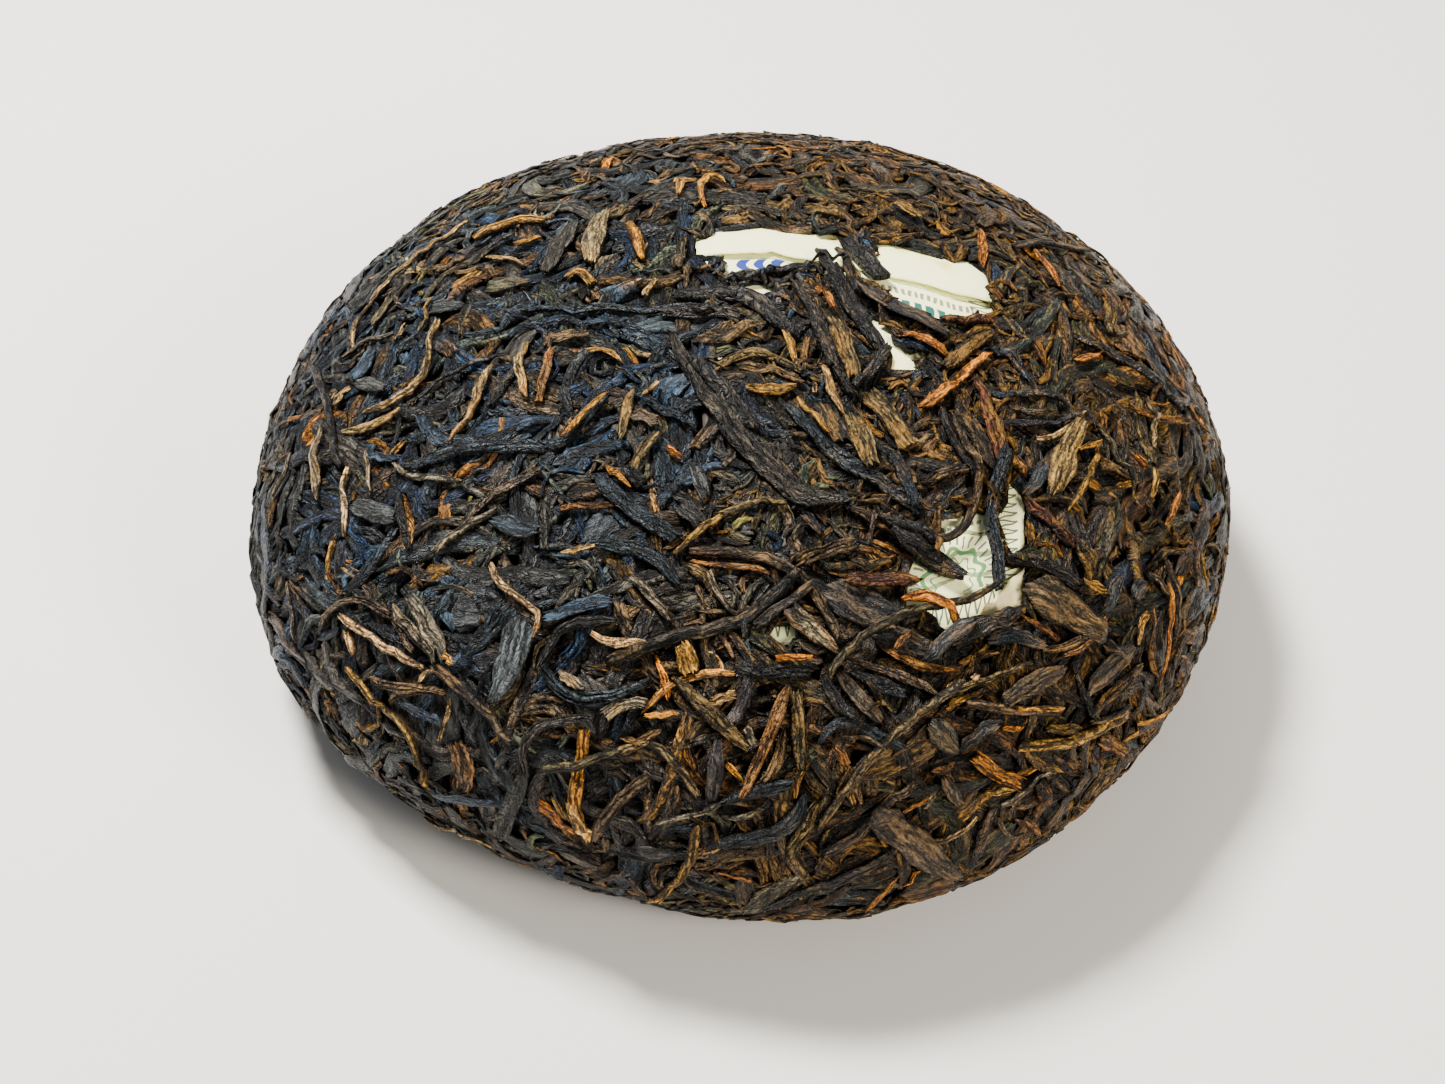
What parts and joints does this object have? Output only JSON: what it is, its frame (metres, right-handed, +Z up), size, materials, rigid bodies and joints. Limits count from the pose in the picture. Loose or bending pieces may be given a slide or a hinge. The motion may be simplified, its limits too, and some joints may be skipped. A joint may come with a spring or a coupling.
{
  "type": "pressed tea cake",
  "caption": "Domed round cake of pressed dark tea leaves, with a hollow pressed into its base and a paper ticket half covered by the leaves on top.",
  "frame": {"origin": "centre of the cake in plan, at the level of the flat base ring it rests on", "axes": "+Z up through the top of the dome, +Y away from the picture's viewer, +X to the right in the picture"},
  "size_m": [0.1042, 0.1048, 0.0431],
  "materials": {
    "pressed_tea": "matte",
    "ticket_paper": "matte"
  },
  "bodies": {
    "root": {"tea_cake": "pressed_tea", "paper_ticket": "ticket_paper"}
  },
  "joints": []
}
